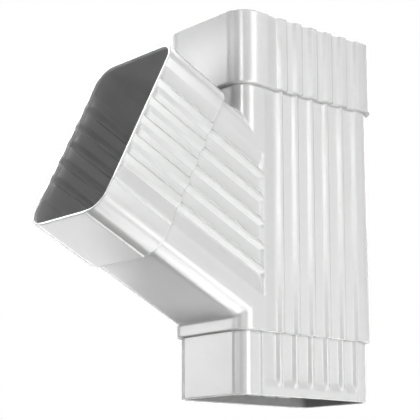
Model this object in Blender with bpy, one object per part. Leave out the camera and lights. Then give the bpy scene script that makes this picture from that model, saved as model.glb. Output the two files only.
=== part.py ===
"""Downspout Y branch, one hollow moulding.

A rounded rectangular duct stands upright.  Its wide faces look along -Y and +Y and carry six shallow
channels with narrow ridges between them.  The top is a socket, the bottom is a spigot, and a second
duct of the same section leaves the left narrow face, climbs to the left and ends in its own socket.

Every skin of the moulding is the same section moved in or out by one distance:
    0 is the outside of the duct, minus the wall is its bore, plus the clearance is a socket's bore,
    plus the clearance and the wall is a socket's outside.
The outside is built first, then the bore as a solid of its own, and one cut leaves the wall.
Origin: the centre of the spigot's rim.  +Z runs up the duct, the branch leaves toward -X.
"""
import math

import bpy
import bmesh
import numpy as np

MM = 0.001

# driving sizes, all in millimetres
DUCT_WIDTH = 78.0            # across the wide faces, along X
DUCT_DEPTH = 46.5            # between the wide faces, along Y
CORNER_RADIUS = 5.0          # outside corner of the duct
WALL = 1.8                   # thickness everywhere
SOCKET_CLEARANCE = 0.4       # gap each side for a pipe of the duct's own outside size
SPIGOT_STEP = 1.5            # how far the spigot stands in from the duct each side
SPIGOT_LENGTH = 26.0
SOCKET_LENGTH = 32.0         # both sockets
BRANCH_ANGLE = 64.0          # between the two axes, degrees
LOWER_SHOULDER = 5.6         # from the spigot's step up to where the branch's underside leaves
UPPER_SHOULDER = 10.6        # from where the branch's upper side leaves up to the socket
BRANCH_NECK = 9.6            # on its upper side the branch is plain duct for this long
LEFT_LAND = 12.5             # plain width of a wide face on the branch's side
RIGHT_LAND = 10.9            # plain width on the other side
RIDGE_COUNT = 5              # ridges between the channels of a wide face
FIRST_WIDER = 1.0            # the first channel is wider than the pitch by this
LAST_NARROWER = 0.7          # and the last one is narrower by this
RIDGE_TOP = 0.65             # half width of a ridge at its crest
CHANNEL_DEPTH = 1.4          # crest to channel floor, walls at 45 degrees
LEAST_FLOOR = 0.1            # flat left on the floor beside a long wall, on the socket's skin
LEAST_TOP = 0.4              # a ridge's half width never falls below this on the inner skins
CREST_EASE = 0.3             # rounding of a crest's two edges
CORNER_RELIEF = 0.6          # the spigot and the lower side of the branch socket are eased here
RELIEF_REACH = 8.0           # how far that easing runs along the narrow face
PLAIN_BAND = 4.0             # the channels stop this far above the spigot's rim
FADE = 3.0                   # and fade out over this height
LOWER_FILLET = 2.0           # inside corner under the branch
UPPER_FILLET = 1.0           # inside corner above it
EDGE = 0.35                  # broken edge on steps and rims
LEAD_IN = 0.5                # bevel inside a socket's mouth

ARC_STEPS = 6
SOCKET_OUT = SOCKET_CLEARANCE + WALL

# the two ducts: the branch's sides meet the upright's at these distances from the axes' crossing
slope = math.radians(BRANCH_ANGLE)
LOWER_MEET = DUCT_WIDTH / 2 * math.tan(slope / 2)
UPPER_MEET = DUCT_WIDTH / 2 / math.tan(slope / 2)
BRANCH_HEIGHT = SPIGOT_LENGTH + LOWER_SHOULDER + LOWER_MEET
DUCT_TOP = BRANCH_HEIGHT + UPPER_MEET + UPPER_SHOULDER
TOTAL_HEIGHT = DUCT_TOP + SOCKET_LENGTH
BRANCH_DUCT = UPPER_MEET + BRANCH_NECK
BRANCH_END = BRANCH_DUCT + SOCKET_LENGTH
AXIS = np.array([-math.sin(slope), 0.0, math.cos(slope)])
SIDE = np.array([math.cos(slope), 0.0, math.sin(slope)])
CROSSING = np.array([0.0, 0.0, BRANCH_HEIGHT])


def crest_half(out):
    """Half width of a ridge's crest on the skin moved out by this much, for an even wall."""
    return max(RIDGE_TOP + out * math.tan(math.radians(22.5)), LEAST_TOP)


# the fluting: crests at both ends, ridges at an even pitch between them, and two long outer walls
FIRST_CREST = LEFT_LAND - DUCT_WIDTH / 2
LAST_CREST = DUCT_WIDTH / 2 - RIGHT_LAND
RIDGE_PITCH = (LAST_CREST - FIRST_CREST - FIRST_WIDER + LAST_NARROWER) / (RIDGE_COUNT + 1)
RIDGES = [FIRST_CREST + FIRST_WIDER + (k + 1) * RIDGE_PITCH for k in range(RIDGE_COUNT)]
WIDEST_FOOT = crest_half(SOCKET_OUT) + CHANNEL_DEPTH + LEAST_FLOOR
LONG_WALL = RIDGES[0] - WIDEST_FOOT - FIRST_CREST
TOP_WALL = LAST_CREST - RIDGES[-1] - WIDEST_FOOT


def face_line(out, depth, low_left, low_right, last_wall):
    """One wide face from left to right: positions and depths below the crest level."""
    half = crest_half(out)
    foot = half + CHANNEL_DEPTH
    line = [(FIRST_CREST - 3.0, low_left), (FIRST_CREST - 1.2, low_left), (FIRST_CREST - 0.4, 0.0),
            (FIRST_CREST, 0.0), (FIRST_CREST + LONG_WALL, depth)]
    for ridge in RIDGES:
        line += [(ridge - foot, depth), (ridge - half, 0.15 * depth), (ridge - half + CREST_EASE, 0.0),
                 (ridge + half - CREST_EASE, 0.0), (ridge + half, 0.15 * depth), (ridge + foot, depth)]
    line += [(LAST_CREST - last_wall, depth), (LAST_CREST, 0.0),
             (LAST_CREST + 0.8, low_right), (LAST_CREST + 2.0, low_right)]
    return line


def section(out, fluting=1.0, low_left=0.0, low_right=0.0, last_wall=CHANNEL_DEPTH):
    """The whole skin, counter-clockwise from the left end of the front face, as x and y."""
    half_w, half_d = DUCT_WIDTH / 2 + out, DUCT_DEPTH / 2 + out
    centre_x, centre_y = DUCT_WIDTH / 2 - CORNER_RADIUS, DUCT_DEPTH / 2 - CORNER_RADIUS
    radius = CORNER_RADIUS + out
    line = face_line(out, CHANNEL_DEPTH * fluting, low_left, low_right, last_wall)
    front = [(x, -half_d + depth) for x, depth in line]
    back = [(x, half_d - depth) for x, depth in reversed(line)]
    turn = np.linspace(0.0, math.pi / 2, ARC_STEPS + 1)
    right_r, left_r = radius - low_right, radius - low_left
    low_front = [(centre_x + right_r * math.sin(a), -centre_y - right_r * math.cos(a)) for a in turn]
    top_right = [(centre_x + right_r * math.cos(a), centre_y + right_r * math.sin(a)) for a in turn]
    top_left = [(-centre_x - left_r * math.sin(a), centre_y + left_r * math.cos(a)) for a in turn]
    low_left_arc = [(-centre_x - left_r * math.cos(a), -centre_y - left_r * math.sin(a)) for a in turn]
    step_y = DUCT_DEPTH / 2 - RELIEF_REACH
    right = [(half_w - low_right, -step_y - 0.8), (half_w, -step_y), (half_w, step_y), (half_w - low_right, step_y + 0.8)]
    left = [(-half_w + low_left, step_y + 0.8), (-half_w, step_y), (-half_w, -step_y), (-half_w + low_left, -step_y - 0.8)]
    return np.array(front + low_front + right + top_right + back + top_left + left + low_left_arc)


def upright(out, height, **kw):
    """A section laid flat at one height of the upright duct."""
    flat = section(out, **kw)
    return np.c_[flat, np.full(len(flat), height)]


def across(out, along, **kw):
    """A section square to the branch axis at one distance from the crossing."""
    flat = section(out, last_wall=TOP_WALL, **kw)
    return CROSSING + along * AXIS + flat[:, :1] * SIDE + flat[:, 1:] * np.array([0.0, 1.0, 0.0])


def cut_at(ring, x_end):
    """Slides each point of a branch ring along the branch axis to x = x_end, one value or one each."""
    travel = (x_end - ring[:, 0]) / AXIS[0]
    return ring + travel[:, None] * AXIS


def corner_fillet(radius, upward):
    """Rings of a rounded web for the inside corner between the duct's left side and the branch.

    Both sides have the same profile, so their meeting line at each depth y is where a vertical line
    and a line along the branch cross.  A circle that touches both is drawn there, smaller round the
    corner, where the two skins turn into one plane.
    """
    straight = np.array([0.0, 0.0, 1.0 if upward else -1.0])
    half_angle = math.acos(float(straight @ AXIS)) / 2
    bend = 1.0 / math.tan(slope / 2) if upward else -math.tan(slope / 2)
    middle = (straight + AXIS) / np.linalg.norm(straight + AXIS)
    turn = np.linspace(0.0, math.pi / 2, ARC_STEPS + 1)
    shares = [(CORNER_RADIUS * math.cos(a), CORNER_RADIUS * math.sin(a)) for a in turn]
    centre_x, centre_y = DUCT_WIDTH / 2 - CORNER_RADIUS, DUCT_DEPTH / 2 - CORNER_RADIUS
    sink = 0.02
    rings = []
    for side in (-1.0, 1.0):
        half = []
        for reach, rise in shares:
            size = max(radius * reach / CORNER_RADIUS, sink)
            across_x = centre_x + reach
            y = side * (centre_y + rise - (sink if reach < 1e-6 else 0.0))
            meet = np.array([-across_x, y, BRANCH_HEIGHT + bend * across_x])
            leg = size / math.tan(half_angle)
            heart = meet + middle * (size / math.sin(half_angle) - sink)
            swing = np.linspace(-1.0, 1.0, 6) * (math.pi / 2 - half_angle)
            lean = np.cross(np.array([0.0, 1.0, 0.0]), middle)
            lean = lean * (1.0 if lean @ AXIS > 0 else -1.0)
            arc = [heart - size * (middle * math.cos(a) - lean * math.sin(a)) for a in swing]
            root = meet - middle * (0.5 * WALL)
            half.append([root + straight * leg] + arc + [root + AXIS * leg])
        rings.append(half)
    return rings[0][::-1] + rings[1]


def solid(name, ring_sets):
    """Closed solids from rings of points: walls between neighbours and a cap at each end."""
    mesh = bmesh.new()
    for rings in ring_sets:
        rows = [[mesh.verts.new(tuple(point * MM)) for point in ring] for ring in rings]
        count = len(rows[0])
        for lower, upper in zip(rows[:-1], rows[1:]):
            for i in range(count):
                j = (i + 1) % count
                mesh.faces.new((lower[i], lower[j], upper[j], upper[i]))
        mesh.faces.new(rows[0][::-1])
        mesh.faces.new(rows[-1])
    bmesh.ops.recalc_face_normals(mesh, faces=mesh.faces)
    data = bpy.data.meshes.new(name)
    mesh.to_mesh(data)
    mesh.free()
    made = bpy.data.objects.new(name, data)
    bpy.context.scene.collection.objects.link(made)
    return made


def weld(data):
    """Joins points closer than a hundredth of a millimetre and drops what that flattens."""
    mesh = bmesh.new()
    mesh.from_mesh(data)
    bmesh.ops.remove_doubles(mesh, verts=mesh.verts, dist=0.01 * MM)
    bmesh.ops.dissolve_degenerate(mesh, edges=mesh.edges, dist=0.01 * MM)
    bmesh.ops.recalc_face_normals(mesh, faces=mesh.faces)
    loose = [edge for edge in mesh.edges if not edge.is_manifold]
    print("open or shared edges:", len(loose), "volume in cubic cm:", round(mesh.calc_volume() * 1e6, 2))
    mesh.to_mesh(data)
    mesh.free()


def combine(target, tool, operation):
    """One Boolean, applied, and the tool removed."""
    step = target.modifiers.new(operation.lower(), "BOOLEAN")
    step.operation = operation
    step.solver = "EXACT"
    step.object = tool
    bpy.context.view_layer.update()
    graph = bpy.context.evaluated_depsgraph_get()
    result = bpy.data.meshes.new_from_object(target.evaluated_get(graph))
    target.modifiers.clear()
    target.data = result
    bpy.data.objects.remove(tool, do_unlink=True)
    weld(target.data)


def channel_cutters(out, along_end):
    """The six channels of the branch as loose bars, on both wide faces.

    Each one ends in a slope of 45 degrees that starts at the crest where the upright's land ends, and
    on the inner skin that slope is moved along for an even wall.
    """
    slope_top = FIRST_CREST - out * math.tan(math.radians(22.5))
    half = crest_half(out)
    foot = half + CHANNEL_DEPTH
    proud = 0.25
    gap = []
    starts = [(FIRST_CREST, LONG_WALL)] + [(r + half, foot - half) for r in RIDGES]
    ends = [(r - half, foot - half) for r in RIDGES] + [(LAST_CREST, TOP_WALL)]
    for (a, rise_a), (b, rise_b) in zip(starts, ends):
        reach = proud / CHANNEL_DEPTH
        gap.append([(a - rise_a * reach, -proud), (a + rise_a, CHANNEL_DEPTH),
                    (b - rise_b, CHANNEL_DEPTH), (b + rise_b * reach, -proud)])
    bars = []
    for face in (-1.0, 1.0):
        for shape in gap:
            flat = np.array([(s, face * (DUCT_DEPTH / 2 + out - depth)) for s, depth in shape])
            ring = CROSSING + flat[:, :1] * SIDE + flat[:, 1:] * np.array([0.0, 1.0, 0.0])
            below = np.array([depth for s, depth in shape])
            bars.append([cut_at(ring, slope_top - below), ring + along_end * AXIS])
    return bars


for old in list(bpy.data.objects):
    bpy.data.objects.remove(old, do_unlink=True)

# outside of the upright duct: spigot, duct and socket in one run of rings
relief = dict(low_left=CORNER_RELIEF, low_right=CORNER_RELIEF)
low = -SPIGOT_STEP
outer = [upright(low - EDGE, 0.0, fluting=0.0, **relief), upright(low, 2 * EDGE, fluting=0.0, **relief)]
for part_way, level in ((0.0, 0.0), (0.12, 0.4), (0.35, 0.72), (0.65, 0.93), (1.0, 1.0)):
    outer.append(upright(low, PLAIN_BAND + FADE * part_way, fluting=level, **relief))
outer += [upright(low, SPIGOT_LENGTH, **relief), upright(-EDGE, SPIGOT_LENGTH), upright(0.0, SPIGOT_LENGTH + EDGE)]
ease = ((0.0, -1.5 * EDGE), (0.12, -0.5 * EDGE), (0.45, 0.0), (0.8, 0.2 * EDGE), (1.0, 1.5 * EDGE))
outer += [upright(SOCKET_OUT * share, DUCT_TOP + rise) for share, rise in ease]
outer += [upright(SOCKET_OUT, TOTAL_HEIGHT - EDGE), upright(SOCKET_OUT - EDGE, TOTAL_HEIGHT)]
body = solid("y_branch", [outer])

# outside of the branch duct, plain, let into the upright one as far as the first channel
tube = solid("branch_duct", [[cut_at(across(0.0, 0.0, fluting=0.0), FIRST_CREST),
                              across(0.0, BRANCH_DUCT + 1.0, fluting=0.0)]])
combine(body, tube, "UNION")
combine(body, solid("lower_web", [corner_fillet(LOWER_FILLET, upward=False)]), "UNION")
combine(body, solid("upper_web", [corner_fillet(UPPER_FILLET, upward=True)]), "UNION")
combine(body, solid("branch_channels", channel_cutters(0.0, BRANCH_DUCT + 0.5)), "DIFFERENCE")

# outside of the branch socket
cup = [across(-1.0, BRANCH_DUCT - 2 * EDGE)]
cup += [across(SOCKET_OUT * share, BRANCH_DUCT + rise, low_left=CORNER_RELIEF * share) for share, rise in ease[1:]]
cup += [across(SOCKET_OUT, BRANCH_END - EDGE, low_left=CORNER_RELIEF),
        across(SOCKET_OUT - EDGE, BRANCH_END, low_left=CORNER_RELIEF)]
combine(body, solid("branch_socket", [cup]), "UNION")

# the bore of the upright duct
deep = low - WALL
bore = [upright(deep, -2.0, fluting=0.0)]
for part_way, level in ((0.0, 0.0), (0.35, 0.72), (1.0, 1.0)):
    bore.append(upright(deep, PLAIN_BAND + FADE * part_way, fluting=level))
bore += [upright(deep, SPIGOT_LENGTH + WALL - SPIGOT_STEP), upright(-WALL, SPIGOT_LENGTH + WALL),
         upright(-WALL, DUCT_TOP + WALL), upright(SOCKET_CLEARANCE, DUCT_TOP + WALL),
         upright(SOCKET_CLEARANCE, TOTAL_HEIGHT - 2 * LEAD_IN),
         upright(SOCKET_CLEARANCE + 2 * LEAD_IN, TOTAL_HEIGHT + 2 * LEAD_IN)]
hollow = solid("bore", [bore])

# the bore of the branch
tube = solid("branch_bore", [[cut_at(across(-WALL, 0.0, fluting=0.0), FIRST_CREST - WALL),
                              across(-WALL, BRANCH_DUCT + WALL + 1.0, fluting=0.0)]])
combine(hollow, tube, "UNION")
combine(hollow, solid("bore_channels", channel_cutters(-WALL, BRANCH_DUCT + WALL + 0.5)), "DIFFERENCE")
cup = [across(SOCKET_CLEARANCE, BRANCH_DUCT + WALL, low_left=0.3 * CORNER_RELIEF),
       across(SOCKET_CLEARANCE, BRANCH_END - 2 * LEAD_IN, low_left=0.3 * CORNER_RELIEF),
       across(SOCKET_CLEARANCE + 2 * LEAD_IN, BRANCH_END + 2 * LEAD_IN, low_left=0.3 * CORNER_RELIEF)]
combine(hollow, solid("branch_cup", [cup]), "UNION")
combine(body, hollow, "DIFFERENCE")

body.data.shade_smooth()
body.data.set_sharp_from_angle(angle=math.radians(28.0))
print("triangles:", sum(len(face.vertices) - 2 for face in body.data.polygons))

plastic = bpy.data.materials.new("white PVC")
plastic.use_nodes = True
shader = plastic.node_tree.nodes["Principled BSDF"]
shader.inputs["Base Color"].default_value = (0.83, 0.84, 0.85, 1.0)
shader.inputs["Roughness"].default_value = 0.28
shader.inputs["IOR"].default_value = 1.53
body.data.materials.clear()
body.data.materials.append(plastic)
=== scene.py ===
"""Downspout Y branch: a lesson on one hollow moulding, built as a single closed skin.

The part is a rounded rectangular duct with six shallow channels on each wide face, a spigot below, a
socket above and a branch that climbs to the left and ends in a socket of its own.  Every skin is one
section, moved in or out by one distance and carried along a line.
"""
import math

import bmesh
import bpy
import mathutils
import numpy as np
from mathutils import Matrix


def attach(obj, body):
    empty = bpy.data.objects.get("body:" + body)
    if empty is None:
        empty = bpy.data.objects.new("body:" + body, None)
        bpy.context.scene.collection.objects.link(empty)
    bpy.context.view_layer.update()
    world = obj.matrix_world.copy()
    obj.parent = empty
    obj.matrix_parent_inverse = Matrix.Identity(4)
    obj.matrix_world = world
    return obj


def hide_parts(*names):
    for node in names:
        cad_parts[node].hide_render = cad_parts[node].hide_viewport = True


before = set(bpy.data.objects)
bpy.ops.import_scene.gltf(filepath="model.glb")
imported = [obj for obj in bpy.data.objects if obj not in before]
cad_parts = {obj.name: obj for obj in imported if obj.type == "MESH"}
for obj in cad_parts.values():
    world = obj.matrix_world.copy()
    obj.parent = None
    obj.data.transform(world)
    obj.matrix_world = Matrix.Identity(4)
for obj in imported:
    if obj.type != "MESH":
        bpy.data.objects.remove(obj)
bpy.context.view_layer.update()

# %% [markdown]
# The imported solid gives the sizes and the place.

MM = 0.001

# %% [markdown]
# A moulder's drawing of this part has few sizes: the duct's section, the wall, the two lengths at its
# ends, the branch's angle and the fluting.  They are set here once, in millimetres, as in the solid's
# own source.  One differs: the corners are rounded to 7 mm, as measured along the photograph's rims,
# where the solid keeps 5.  The places where the sides of the two ducts meet follow from the angle.

# %% Sizes
WIDTH, DEPTH, CORNER, WALL = 78.0, 46.5, 7.0, 1.8
CLEARANCE, SPIGOT_STEP = 0.4, 1.5
SPIGOT, SOCKET = 26.0, 32.0
ANGLE = math.radians(64.0)
LOWER_SHOULDER, UPPER_SHOULDER, NECK = 5.6, 10.6, 9.6
LEFT_LAND, RIGHT_LAND, RIDGE_COUNT = 12.5, 10.9, 5
CHANNEL, RIDGE_HALF = 1.4, 0.65
LOWER_FILLET, UPPER_FILLET, INNER_FILLET = 2.0, 1.0, 1.2

CUP = CLEARANCE + WALL
LOWER_MEET = WIDTH / 2 * math.tan(ANGLE / 2)
UPPER_MEET = WIDTH / 2 / math.tan(ANGLE / 2)
CROSS = SPIGOT + LOWER_SHOULDER + LOWER_MEET
TOP = CROSS + UPPER_MEET + UPPER_SHOULDER
BRANCH = UPPER_MEET + NECK
CENTRE_X, CENTRE_Y = WIDTH / 2 - CORNER, DEPTH / 2 - CORNER
AXIS = np.array([-math.sin(ANGLE), 0.0, math.cos(ANGLE)])
SIDE = np.array([math.cos(ANGLE), 0.0, math.sin(ANGLE)])
FRONT = np.array([0.0, 1.0, 0.0])
print("axes cross at", round(CROSS, 2), "duct ends at", round(TOP, 2), "branch duct", round(BRANCH, 2))

# %% [markdown]
# Nothing moulded has a sharp corner: molten plastic doesn't fill one, and a sharp one cracks.  The
# thin bright lines beside each ridge are those small radii catching the light, so they are real
# shape here and not a trick of shading.  One function rounds the section, the ends and the ramps.

# %% Rounding a line
SMALL_RADII = 3.0


def rounded(points, radii, counts, closed=False):
    """Each corner of a flat line becomes an arc that touches both of its sides.

    With u the direction into a corner, v the one out of it and t the turn between them, the arc of
    radius r starts r tan(t/2) before the corner.  Its point at share e of the turn is
    start + r sin(e t) u + r (1 - cos(e t)) n, n being square to u on v's side.  An arc takes at most
    about half of a side, so that its neighbour has room, and a corner of the section nearly all of it.
    """
    points, radii = np.asarray(points, float), np.asarray(radii, float)
    counts = np.asarray(counts, int)
    into = points - np.roll(points, 1, 0)
    onward = np.roll(points, -1, 0) - points
    if not closed:
        into[0], onward[-1] = onward[0], into[-1]
    size_in, size_out = np.linalg.norm(into, axis=1), np.linalg.norm(onward, axis=1)
    u, v = into / size_in[:, None], onward / size_out[:, None]
    turn = np.arctan2(u[:, 0] * v[:, 1] - u[:, 1] * v[:, 0], (u * v).sum(1))
    turn = np.where(np.abs(turn) < 1e-5, 1e-5, turn)
    short = np.minimum(size_in, size_out)
    half = np.tan(np.abs(turn) / 2)
    share_of_side = np.where(radii > SMALL_RADII, 0.98, 0.48)
    reach = np.where(counts > 1, np.clip(radii * half, 0.06 * short, share_of_side * short), 0.0)
    radius = reach / half
    normal = np.c_[-u[:, 1], u[:, 0]] * np.sign(turn)[:, None]
    start = points - reach[:, None] * u
    which = np.repeat(np.arange(len(points)), counts)
    step = np.arange(len(which)) - np.repeat(np.cumsum(counts) - counts, counts)
    swing = (step / np.maximum(counts[which] - 1, 1) * np.abs(turn)[which])[:, None]
    bow = radius[which, None] * (np.sin(swing) * u[which] + (1 - np.cos(swing)) * normal[which])
    return start[which] + bow, which


# %% [markdown]
# The section.  Each wide face runs from a plain land over a long, gentle wall into six channels with
# narrow ridges between them, and up a last wall to the other land.  A skin that is moved out by some
# distance has wider crests, and one moved in has narrower ones, so that the wall stays even.  LAND
# lists how far its last points are from the channels' edge, close together where the branch's
# channels stop.

# %% One wide face
FIRST = LEFT_LAND - WIDTH / 2
LAST = WIDTH / 2 - RIGHT_LAND
FIRST_WIDER, LAST_NARROWER = 1.0, 0.7
PITCH = (LAST - FIRST - FIRST_WIDER + LAST_NARROWER) / (RIDGE_COUNT + 1)
RIDGES = FIRST + FIRST_WIDER + PITCH * np.arange(1, RIDGE_COUNT + 1)


def crest_half(out):
    """Half a ridge's crest: its value on the duct's skin plus out times tan 22.5 degrees."""
    return max(RIDGE_HALF + out * math.tan(math.radians(22.5)), 0.4)


WIDE_FOOT = crest_half(CUP) + CHANNEL + 0.1
LONG_WALL = RIDGES[0] - WIDE_FOOT - FIRST
TOP_WALL = LAST - RIDGES[-1] - WIDE_FOOT
LAND = np.array([2.4, 1.85, 1.65, 1.5, 1.35, 1.2, 0.9, 0.65, 0.5, 0.38, 0.26, 0.16, 0.08, 0.0])
RELIEF_FROM, RELIEF_OVER = 0.4, 0.8
CREST_RADIUS, FOOT_RADIUS = 0.8, 0.7


def wall(crest, foot, deep):
    """Two plain points on a wall, at 38 and 62 hundredths of the way from its crest to its foot."""
    return [(crest + share * (foot - crest), share * deep, 0.0, 1) for share in (0.38, 0.62)]


def face_line(out, level, low_left, low_right, last_wall):
    """Corners of a wide face from left to right: position, depth, radius and points of each."""
    half, deep = crest_half(out), CHANNEL * level
    crest_r, foot_r = CREST_RADIUS + 0.3 * max(out, 0.0), FOOT_RADIUS
    ease = np.clip((LAND - RELIEF_FROM) / RELIEF_OVER, 0.0, 1.0)
    land = [(FIRST - e, low_left * s * s * (3 - 2 * s), 0.0, 1) for e, s in zip(LAND, ease)]
    line = land + [(FIRST + 0.5, 0.0, 4.0, 4), (FIRST + LONG_WALL, deep, 2.0, 4)]
    for ridge in RIDGES:
        left, right = ridge - half, ridge + half
        line += [(left - CHANNEL, deep, foot_r, 5), *wall(left, left - CHANNEL, deep)[::-1],
                 (left, 0.0, crest_r, 5), (right, 0.0, crest_r, 5),
                 *wall(right, right + CHANNEL, deep), (right + CHANNEL, deep, foot_r, 5)]
    line += [(LAST - last_wall, deep, foot_r, 5), *wall(LAST, LAST - last_wall, deep)[::-1],
             (LAST, 0.0, crest_r, 5), (LAST + 0.8, low_right, 0.5, 3)]
    return np.array(line)


# %% [markdown]
# The whole ring starts where the left corner leaves the rear face, so that the left side, which the
# branch grows out of, is one unbroken run of points.  The spigot and the branch's socket have their
# corners set back a little from the flats, which draws the thin upright lines beside each corner.

# %% The whole section
ARC, CORNER_BAND, BAND_STEP = 13, 8.0, 0.8


def section(out, level=1.0, low_left=0.0, low_right=0.0, last_wall=CHANNEL, rear_level=None):
    """Ring of points: left side, front face, right side, rear face, every corner an arc."""
    half_w, half_d, relief = WIDTH / 2 + out, DEPTH / 2 + out, DEPTH / 2 - CORNER_BAND
    face = face_line(out, level, low_left, low_right, last_wall)
    back = face if rear_level is None else face_line(out, rear_level, low_left, low_right, last_wall)

    def narrow(sign, low):
        radius = CORNER + out - low
        edge_x, edge_y = CENTRE_X + radius, CENTRE_Y + radius
        ends = [(edge_x, -edge_y, radius, ARC), (half_w - low, -relief - BAND_STEP, 0.5, 3),
                (half_w, -relief, 0.5, 3), (half_w, relief, 0.5, 3),
                (half_w - low, relief + BAND_STEP, 0.5, 3), (edge_x, edge_y, radius, ARC)]
        return np.array(ends) * [sign, sign, 1, 1]

    front = face.copy()
    front[:, 1] = -half_d + face[:, 1]
    rear = back[::-1].copy()
    rear[:, 1] = half_d - rear[:, 1]
    corners = np.concatenate([narrow(-1, low_left), front, narrow(1, low_right), rear])
    return rounded(corners[:, :2], corners[:, 2], corners[:, 3], closed=True)[0]


plain = section(0.0)
SIDE_COUNT = 2 * ARC + 12
FACE_COUNT = (len(plain) - 2 * SIDE_COUNT) // 2
LEFT = np.arange(SIDE_COUNT)
FACE_F = np.arange(SIDE_COUNT - 1, SIDE_COUNT + FACE_COUNT + 1)
FACE_B = np.r_[np.arange(2 * SIDE_COUNT + FACE_COUNT - 1, len(plain)), 0][::-1]
print("points round the section:", len(plain), "of which on each wide face:", FACE_COUNT)

# %% [markdown]
# Two ways to carry the section: level by level up the duct, or square to the branch's own axis.

# %% Placing a section
def upright(ring, height):
    """x and y stay, z is the height."""
    return np.c_[ring, np.broadcast_to(height, len(ring))]


def across(ring, along):
    """Crossing point plus along times the axis plus x times the side direction, y kept."""
    along = np.broadcast_to(along, len(ring))
    return (np.array([0.0, 0.0, CROSS]) + along[:, None] * AXIS + ring[:, :1] * SIDE
            + ring[:, 1:] * FRONT)


# %% [markdown]
# Each open end is one strip of wall turned over at its rim: down the outside, round the rim and up the
# inside.  Its outline is a list of corners, each with six values: how far the skin is moved out, where
# it is along the axis, the corner's radius and its number of points, the channels' depth as a share,
# and the set-back of the section's corners.  One rounding gives the step, the rim and the seat.  Each
# strip ends 1 to 3 mm past its steps, where the skins between the ends take over.

# %% The wall at an open end
def end_grid(line, place, top_wall=CHANNEL, both=True, rear_keeps=0.0):
    """Rows are the rounded outline's points, columns the section's.

    Where the front channels fade by some share, the rear ones keep rear_keeps of that share.
    """
    line = np.array(line, float)
    path, which = rounded(line[:, :2], line[:, 2], line[:, 3])
    rows = []
    for (out, along), (level, low) in zip(path, line[which, 4:6]):
        rear_level = level + rear_keeps * (1 - level)
        ring = section(out, level, low, low if both else 0.0, top_wall, rear_level)
        rows.append(place(ring, along))
    return np.array(rows)


def fade(out, low, first, height, away, soft=False):
    """Channels that run out near a rim: over the fade's height the level rises as a quarter circle.

    A soft fade is the curve s s (3 - 2 s).  Rows run from the plain band at first to the full channels,
    or the other way where away is false.
    """
    t = np.array([0.0, 0.03, 0.12, 0.28, 0.5, 0.75, 1.0])
    level = t * t * (3 - 2 * t) if soft else np.sqrt(1 - (1 - t) ** 2)
    rows = [(out, first + height * s, 0.0, 1, rise, low) for s, rise in zip(t, level)]
    return rows if away else rows[::-1]


LOW_OUT, LOW_IN, TOP_OUT, TOP_IN = SPIGOT + 1.2, SPIGOT + WALL + 0.8, TOP - 1.2, TOP - 1.0
slim, bore, deep = -SPIGOT_STEP, -WALL, -SPIGOT_STEP - WALL
spigot_line = [(0, LOW_OUT, 0, 1, 1, 0), (0, SPIGOT, 0.7, 7, 1, 0), (slim, SPIGOT, 0.25, 3, 1, 0.6)]
spigot_line += fade(slim, 0.6, 3.2, 4.5, False, soft=True)
spigot_line += [(slim, 0, 0.5, 4, 0, 0.6), (deep, 0, 0.5, 4, 0, 0)]
spigot_line += fade(deep, 0.0, 4.0, 3.0, True)
spigot_line += [(deep, SPIGOT + WALL - SPIGOT_STEP, 0.5, 3, 1, 0), (bore, SPIGOT + WALL, 0.5, 3, 1, 0),
                (bore, LOW_IN, 0, 1, 1, 0)]


def socket_line(start, low_out, low_in, first, last, plain_rim=False):
    """Out over the step, along the cup, round the rim, back to the seat and into the bore."""
    rim = start + SOCKET
    runs_out = fade(CUP, low_out, rim - 0.8, -2.6, False) if plain_rim else []
    runs_in = fade(CLEARANCE, low_in, rim - 1.6, -2.4, True) if plain_rim else []
    at_rim = 0.0 if plain_rim else 1.0
    return ([(0, first, 0, 1, 1, 0), (0, start, 0.35, 3, 1, 0), (CUP, start, 1.05, 8, 1, low_out)]
            + runs_out
            + [(CUP, rim, 0.45, 5, at_rim, low_out), (CLEARANCE + 0.5, rim, 0.3, 3, at_rim, low_in),
               (CLEARANCE, rim - 1.0, 0.5, 3, at_rim, low_in)] + runs_in
            + [(CLEARANCE, start + WALL, 0.2, 3, 1, low_in), (bore, start + WALL, 0.35, 4, 1, 0),
               (bore, last, 0, 1, 1, 0)])


spigot_end = end_grid(spigot_line, upright)
socket_end = end_grid(socket_line(TOP, 0, 0, TOP_OUT, TOP_IN), upright)
BRANCH_OUT, BRANCH_IN = BRANCH - 1.2, BRANCH - 1.0
branch_line = socket_line(BRANCH, 0.6, 0.18, BRANCH_OUT, BRANCH_IN, plain_rim=True)
branch_end = end_grid(branch_line, across, TOP_WALL, both=False, rear_keeps=0.5)
print("rows at the three ends:", len(spigot_end), len(socket_end), len(branch_end))

# %% [markdown]
# The channels of the branch don't reach those of the upright duct: each one stops at a wall in the
# plane where the upright's land ends, which shows as a row of small slots in the photograph.  Depth
# there is the lesser of the section's own depth and of a rounded ramp.

# %% Where the channels of the branch stop
RAMP = rounded([(-1, 0), (0.3, 0), (1.5, CHANNEL), (8, CHANNEL)], [0, 0.6, 0.6, 0], [1, 8, 8, 1])[0]
SHARES = np.linspace(0.0, 1.0, 4)


def along_at(x, s):
    """Distance along the branch of the point with the upright's x on the line of section place s."""
    return (s * math.cos(ANGLE) - x) / math.sin(ANGLE)


def branch_face(out, columns, sign, end):
    """Rows run from the plane x = FIRST out along the branch.  Columns follow the section."""
    ring = section(out, last_wall=TOP_WALL)[columns]
    half_d = DEPTH / 2 + out
    depth = half_d - np.abs(ring[:, 1])
    rows = []
    for e in LAND[::-1]:
        eased = np.minimum(depth, np.interp(e, RAMP[:, 0], RAMP[:, 1]))
        flat = np.c_[ring[:, 0], sign * (half_d - eased)]
        rows.append(across(flat, along_at(FIRST - e, ring[:, 0])))
    start = along_at(-CENTRE_X, ring[:, 0])
    return np.array(rows + [across(ring, start + w * (end - start)) for w in SHARES])


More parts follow.
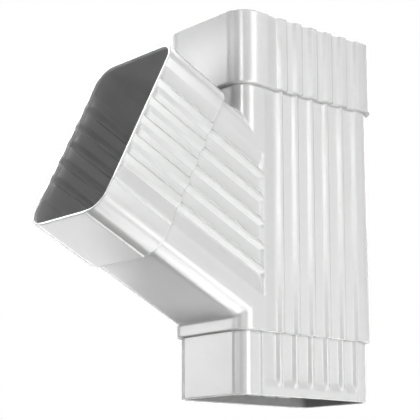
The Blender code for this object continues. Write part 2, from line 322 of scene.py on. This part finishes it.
# %% [markdown]
# The left side of the duct and the underside of the branch have the same profile, so they are one
# strip: up the duct, round an inside corner and out along the branch.  The other strip does the same
# from the socket down to the upper side of the branch.  In each plane of constant depth the corner is
# a plain circle that touches both lines, and it shrinks to nothing where the strip reaches the wide
# face.

# %% The two bent strips
def bent_strip(out, upper, first, end, fillet):
    """Rows go along the path, columns round the profile.

    The upright line at x = -r and the branch line at section place r or -r meet at height
    r / tan(angle/2) above the crossing, or r tan(angle/2) below it.
    """
    profile = section(out)[LEFT]
    reach = -profile[:, 0]
    y = profile[:, 1]
    straight = np.array([0.0, 0.0, 1.0 if upper else -1.0])
    bend = 1.0 / math.tan(ANGLE / 2) if upper else -math.tan(ANGLE / 2)
    meet = np.c_[-reach, y, CROSS + bend * reach]
    half = math.acos(float(straight @ AXIS)) / 2
    size = fillet * np.clip((reach - CENTRE_X) / (CORNER + out), 0.0, 1.0)
    far = size / math.sin(half)
    middle = (straight + AXIS) / np.linalg.norm(straight + AXIS)
    lean = np.cross(FRONT, middle)
    lean = lean * np.sign(lean @ AXIS)
    swing = np.linspace(-1, 1, 9) * (math.pi / 2 - half)
    heart = meet + far[:, None] * middle
    arc = [heart - size[:, None] * (middle * math.cos(a) - lean * math.sin(a)) for a in swing]
    base = np.c_[-reach, y, np.full(len(y), first)]
    rise = [base + w * (arc[0] - base) for w in SHARES[:-1]]
    tip = across(np.c_[reach if upper else -reach, y], end)
    run = [arc[-1] + w * (tip - arc[-1]) for w in SHARES[1:]]
    return np.array(rise + arc + run)


def land_grid(out, upper, sign, first):
    """The plain triangle of the wide face between the duct's corner, the branch and the channels."""
    x = np.r_[-CENTRE_X, FIRST - LAND]
    s = CENTRE_X if upper else -CENTRE_X
    edge = CROSS + (s - x * math.cos(ANGLE)) / math.sin(ANGLE)
    y = np.full(len(x), sign * (DEPTH / 2 + out))
    return np.array([np.c_[x, y, first + w * (edge - first)] for w in SHARES])


# %% [markdown]
# The rest of the upright duct needs only a few rows, while its edge beside the branch has a point for
# each point of the branch's section.  One flat many-sided face, a tenth of a millimetre wide, joins
# the two rows of points on each side.

# %% The skins between the ends
def duct_grid(out, first, last):
    """Front channels, right side and rear channels, from the first land point past the plane."""
    columns = np.arange(FACE_F[0] + 1 + len(LAND), FACE_B[0] + len(plain) - len(LAND))
    ring = section(out)[columns]
    return np.array([upright(ring, h) for h in np.linspace(first, last, 5)])


def skin(out, low, top, end, lower_fillet, upper_fillet):
    """All grids and the two many-sided faces of one skin between the three ends."""
    duct = duct_grid(out, low, top)
    grids, seams = [duct], []
    grids.append(bent_strip(out, False, low, end, lower_fillet))
    grids.append(bent_strip(out, True, top, end, upper_fillet))
    for columns, sign, edge in ((FACE_F, -1.0, duct[:, 0]), (FACE_B, 1.0, duct[:, -1])):
        branch = branch_face(out, columns, sign, end)
        lower, upper = land_grid(out, False, sign, low), land_grid(out, True, sign, top)
        grids += [branch, lower, upper]
        fine = np.concatenate([lower[:-1, -1], branch[0], upper[::-1, -1][1:]])
        seams.append(np.concatenate([fine, edge[::-1]]))
    return grids, seams


outer_grids, outer_seams = skin(0.0, LOW_OUT, TOP_OUT, BRANCH_OUT, LOWER_FILLET, UPPER_FILLET)
inner_grids, inner_seams = skin(-WALL, LOW_IN, TOP_IN, BRANCH_IN, INNER_FILLET, INNER_FILLET)
print("grids:", len(outer_grids) + len(inner_grids) + 3, "seams:", len(outer_seams) + len(inner_seams))

# %% [markdown]
# All of it becomes one mesh.  Grids that touch have the same points along their shared edge, so one
# merge closes the skin, and the normals are then turned outwards.  A closed skin has two faces on
# every edge, and its volume is the plastic's, so both are printed.

# %% One closed mesh
def to_mesh(name, grids, seams):
    """Quads join each grid point to its next row and column, and each seam is one face."""
    points, faces, base = [], [], 0
    for grid in grids:
        rows, columns = grid.shape[:2]
        index = base + np.arange(rows * columns).reshape(rows, columns)
        quads = np.stack([index[:-1, :-1], index[:-1, 1:], index[1:, 1:], index[1:, :-1]], axis=-1)
        points.append(grid.reshape(-1, 3))
        faces += quads.reshape(-1, 4).tolist()
        base += rows * columns
    for seam in seams:
        points.append(seam)
        faces.append(list(range(base, base + len(seam))))
        base += len(seam)
    data = bpy.data.meshes.new(name)
    data.from_pydata((np.concatenate(points) * MM).tolist(), [], faces)
    return data


def wrap(grid):
    """A ring closes on itself: its first column again at the end."""
    return np.concatenate([grid, grid[:, :1]], axis=1)


grids = outer_grids + inner_grids + [wrap(g) for g in (spigot_end, socket_end, branch_end)]
mesh = to_mesh("y_branch_skin", grids, outer_seams + inner_seams)
work = bmesh.new()
work.from_mesh(mesh)
bmesh.ops.remove_doubles(work, verts=work.verts, dist=0.002 * MM)
bmesh.ops.dissolve_degenerate(work, edges=work.edges, dist=0.002 * MM)
bmesh.ops.recalc_face_normals(work, faces=work.faces)
loose = [edge for edge in work.edges if len(edge.link_faces) != 2]
print("edges without two faces:", len(loose), "volume, cubic cm:", round(work.calc_volume() * 1e6, 2),
      "triangles:", sum(len(f.verts) - 2 for f in work.faces))
work.to_mesh(mesh)
work.free()
mesh.polygons.foreach_set("use_smooth", np.ones(len(mesh.polygons), dtype=bool))
moulding = bpy.data.objects.new("y_branch_skin", mesh)
bpy.context.scene.collection.objects.link(moulding)
even = moulding.modifiers.new("even_shading", "WEIGHTED_NORMAL")
even.mode = "FACE_AREA"
even.weight = 50

# %% [markdown]
# Rigid PVC from a polished mould is a hard, dense white with a clear gloss over it.  Titanium white
# fills it, so light goes in a fraction of a millimetre and comes out neutral, and the skin on top
# reflects with an index of 1.53.  The mould's polish isn't perfect: the surface has a faint waviness,
# 7 mm from crest to crest, and the gloss changes a little, over 24 mm, where the melt flowed.

# %% Materials
def linear(code):
    """sRGB hex to linear: c / 12.92 below 0.04045, else ((c + 0.055) / 1.055) to the power 2.4."""
    value = np.array([int(code[i:i + 2], 16) for i in (1, 3, 5)]) / 255.0
    low, high = value / 12.92, ((value + 0.055) / 1.055) ** 2.4
    return (*np.where(value <= 0.04045, low, high).tolist(), 1.0)


def add(tree, kind, settings=(), links=()):
    """One node: settings are its own values or sockets by name, links are (socket, output)."""
    node = tree.nodes.new(kind)
    for name, value in dict(settings).items():
        if name in node.inputs:
            node.inputs[name].default_value = value
        else:
            setattr(node, name, value)
    for name, output in links:
        tree.links.new(output, node.inputs[name])
    return node


plastic = bpy.data.materials.new("moulded_white_pvc")
plastic.use_nodes = True
tree = plastic.node_tree
shader = tree.nodes["Principled BSDF"]
shader.inputs["Base Color"].default_value = linear("#DADADA")
shader.inputs["Roughness"].default_value = 0.2
shader.inputs["IOR"].default_value = 1.53
place = add(tree, "ShaderNodeTexCoord")
flow = add(tree, "ShaderNodeTexNoise", {"Scale": 1 / (24 * MM), "Detail": 2.0},
           [("Vector", place.outputs["Object"])])
gloss = add(tree, "ShaderNodeMapRange",
            {"From Min": 0.3, "From Max": 0.7, "To Min": 0.17, "To Max": 0.23},
            [("Value", flow.outputs["Fac"])])
tree.links.new(gloss.outputs["Result"], shader.inputs["Roughness"])
wave = add(tree, "ShaderNodeTexNoise", {"Scale": 1 / (7 * MM), "Detail": 1.0},
           [("Vector", place.outputs["Object"])])
bump = add(tree, "ShaderNodeBump", {"Strength": 0.05, "Distance": 0.4 * MM},
           [("Height", wave.outputs["Fac"])])
tree.links.new(bump.outputs["Normal"], shader.inputs["Normal"])
mesh.materials.append(plastic)
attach(moulding, "root")
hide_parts("y_branch")

# %% [markdown]
# The photograph is a cut-out on white, taken from below the part's foot, so the floor lies well under
# it.  It is matt and pale, and stays out of the part's own light: rays that have bounced or mirrored
# don't meet it, and the room below is lit by lamps alone.

# %% Floor
floor_mesh = bpy.data.meshes.new("floor")
FLOOR_HEIGHT, FLOOR_HALF = -0.45, 3.0
floor_corners = [(-FLOOR_HALF, -FLOOR_HALF, FLOOR_HEIGHT), (FLOOR_HALF, -FLOOR_HALF, FLOOR_HEIGHT),
                 (FLOOR_HALF, FLOOR_HALF, FLOOR_HEIGHT), (-FLOOR_HALF, FLOOR_HALF, FLOOR_HEIGHT)]
floor_mesh.from_pydata(floor_corners, [], [(0, 1, 2, 3)])
floor = bpy.data.objects.new("floor", floor_mesh)
bpy.context.scene.collection.objects.link(floor)
floor_look = bpy.data.materials.new("matt_white_paint")
floor_look.use_nodes = True
floor_look.node_tree.nodes["Principled BSDF"].inputs["Base Color"].default_value = linear("#F2F2F2")
floor_look.node_tree.nodes["Principled BSDF"].inputs["Roughness"].default_value = 0.8
floor_mesh.materials.append(floor_look)
floor.visible_diffuse = floor.visible_glossy = False

# %% [markdown]
# Soft studio light.  The room is dim except for a large bright backdrop behind the part, to the right,
# which the surfaces seen at a slant mirror.  The camera itself sees plain white.

# %% Room
world = bpy.data.worlds.new("white_room")
bpy.context.scene.world = world
world.use_nodes = True
room = world.node_tree
seen = add(room, "ShaderNodeLightPath")
way = add(room, "ShaderNodeTexCoord")
facing = add(room, "ShaderNodeVectorMath", {"operation": "DOT_PRODUCT"},
             [(0, way.outputs["Generated"])])
BACKDROP_WAY = (0.646, 0.733, 0.212)
facing.inputs[1].default_value = BACKDROP_WAY
backdrop = add(room, "ShaderNodeMapRange",
               {"From Min": 0.35, "From Max": 0.85, "To Min": 0.03, "To Max": 1.15},
               [("Value", facing.outputs["Value"])])
strength = add(room, "ShaderNodeMix", {"B": 1.0},
               [("Factor", seen.outputs["Is Camera Ray"]), ("A", backdrop.outputs["Result"])])
room.nodes["Background"].inputs["Color"].default_value = (1.0, 1.0, 1.0, 1.0)
room.links.new(strength.outputs["Result"], room.nodes["Background"].inputs["Strength"])

# %% [markdown]
# Each soft box is a round lamp that faces the part.  The front and high boxes give the wide face its
# even grey, and the left boxes the narrow faces.  Glossy plastic shows a lamp only where a surface
# mirrors it to the camera, so the small bright ones stand in such places.  The band box is mirrored by
# the channels' walls that face the camera and by each rounded corner, the slope and low boxes by the
# walls of the branch's channels, and the foot box lights the ledges from almost straight below.  The
# boxes on the left also shine into the branch's mouth, so it is lighter here than in the photograph.

# %% Light
def soft_box(name, azimuth, height, reach, size, power):
    """A round area lamp whose -Z axis is the direction from it to the part's middle.

    Seen from the part it stands at sin(a) cos(h), -cos(a) cos(h), sin(h), so 0 is square to the front.
    """
    a, h = math.radians(azimuth), math.radians(height)
    way = np.array([math.sin(a) * math.cos(h), -math.cos(a) * math.cos(h), math.sin(h)])
    data = bpy.data.lights.new(name, "AREA")
    data.shape, data.size, data.energy = "DISK", size, power
    lamp = bpy.data.objects.new(name, data)
    bpy.context.scene.collection.objects.link(lamp)
    lamp.location = np.array([-0.02, 0.0, 0.08]) + reach * way
    lamp.rotation_euler = mathutils.Vector(-way).to_track_quat("-Z", "Y").to_euler()
    lamp.visible_camera = False
    return lamp


# Name, azimuth and height in degrees, distance and width in metres, power in watts.
BOXES = [
    ("front_box", 0, 0, 0.9, 0.5, 3.55),
    ("high_box", 20, 25, 0.9, 0.5, 2.8),
    ("top_box", 0, 75, 0.9, 0.5, 1.2),
    ("side_box", 100, 35, 1.1, 1.0, 3.0),
    ("band_box", -48, 15, 0.9, 0.3, 2.0),
    ("low_box", 12, -62, 0.5, 0.3, 0.75),
    ("slope_box", 20, -28, 0.7, 0.3, 0.85),
    ("foot_box", 20, -86, 0.5, 0.3, 0.95),
    ("left_box", -135, 8, 0.9, 0.5, 2.8),
    ("corner_box", -100, 6, 0.9, 0.6, 2.8),
    ("left_high_box", -110, 60, 0.9, 0.4, 1.5),
    ("rim_box", -162, 39, 0.9, 0.3, 1.3),
    ("left_low_box", -90, -60, 0.45, 0.4, 0.12),
    ("under_box", 180, -25, 0.9, 0.5, 1.4),
]
for box in BOXES:
    soft_box(*box)
print("soft boxes:", len(BOXES), "with", round(sum(box[-1] for box in BOXES), 1), "W in all")

# %% [markdown]
# One wide lamp under the part points straight down and lights only the floor.

# %% The floor's own light
floor_light = bpy.data.lights.new("floor_light", "AREA")
floor_light.shape, floor_light.size, floor_light.energy = "SQUARE", 2 * FLOOR_HALF, 60.0
floor_lamp = bpy.data.objects.new("floor_light", floor_light)
bpy.context.scene.collection.objects.link(floor_lamp)
floor_lamp.location = (0.0, 0.0, FLOOR_HEIGHT + 0.2)
floor_lamp.visible_camera = False

# %% [markdown]
# The photograph is printed as catalogues print a cut-out: the paper is full white and the contrast is
# drawn out.  The Standard transform keeps white at white, and a gamma of one half squares each value
# of the picture, which does the drawing out.

# %% Print
bpy.context.scene.view_settings.view_transform = "Standard"
bpy.context.scene.view_settings.gamma = 0.5

# %% [markdown]
# The camera stands to the left and below, looking up by eleven degrees through a long lens.  These
# values come from a fit of the part's edges to those in the photograph.  The lens's shift was held to
# a small value in that fit, because every other view keeps it.

# %% Camera
camera_data = bpy.data.cameras.new("camera")
camera_data.lens = 119.51
camera_data.sensor_width = 36.0
camera_data.shift_y = 0.081
camera_data.clip_start = 0.01
camera = bpy.data.objects.new("camera", camera_data)
camera.location = (-0.4072, -0.4390, -0.0466)
camera.rotation_euler = (math.radians(90.0 + 10.905), 0.0, math.radians(-40.184))
bpy.context.scene.collection.objects.link(camera)
bpy.context.scene.camera = camera
